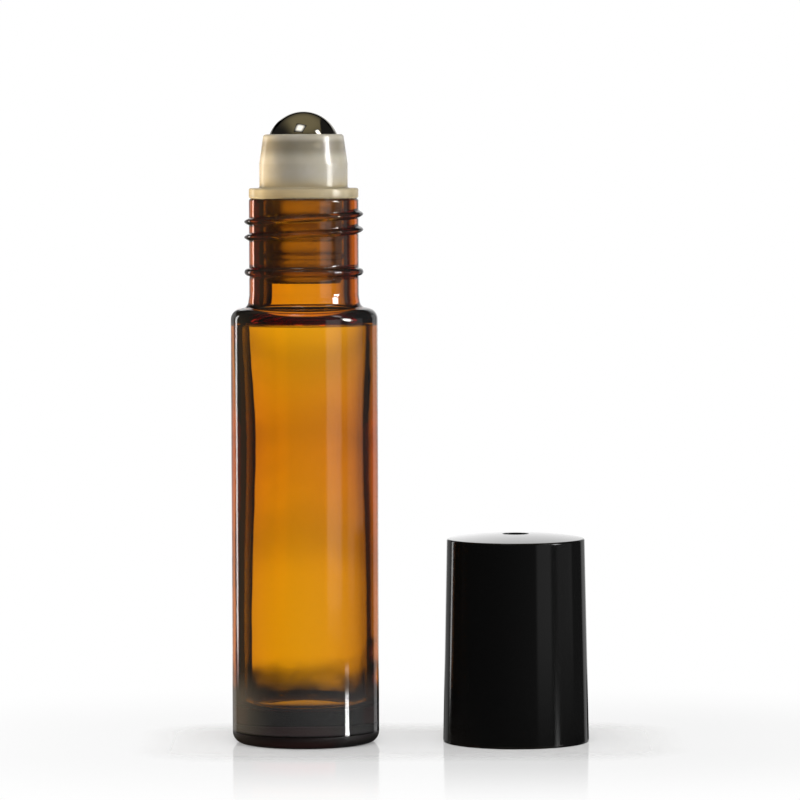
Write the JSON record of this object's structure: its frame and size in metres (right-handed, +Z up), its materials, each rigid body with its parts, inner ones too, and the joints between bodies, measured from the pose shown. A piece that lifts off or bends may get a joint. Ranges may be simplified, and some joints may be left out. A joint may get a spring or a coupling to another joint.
{
  "type": "roll on bottle",
  "caption": "Slim amber glass roll-on bottle with a press-in ball housing, a steel roller ball and a tapered screw cap that stands beside it.",
  "frame": {"origin": "centre of the bottle's base, on the plane that the bottle and its cap stand on", "axes": "+Z up along the bottle's axis, +X from the bottle to the cap that stands beside it, +Y away from the viewer of the picture"},
  "size_m": [0.0486, 0.02, 0.086],
  "materials": {
    "amber_glass": "gloss",
    "natural_plastic": "satin",
    "polished_steel": "polished",
    "black_plastic": "gloss"
  },
  "bodies": {
    "bottle": {"glass_bottle": "amber_glass"},
    "housing": {"roller_housing": "natural_plastic"},
    "ball": {"roller_ball": "polished_steel"},
    "cap": {"screw_cap": "black_plastic"}
  },
  "joints": [
    {"name": "housing_pull", "type": "slide", "parent": "bottle", "child": "housing", "axis": [0, 0, 1], "range_m": [0, 0.02]},
    {"name": "ball_roll", "type": "hinge", "parent": "housing", "child": "ball", "pos_m": [0, 0, 0.08105], "axis": [1, 0, 0], "continuous": true},
    {"name": "cap_lift", "type": "slide", "parent": "bottle", "child": "cap", "axis": [0, 0, 1], "range_m": [0, 0.09]}
  ]
}
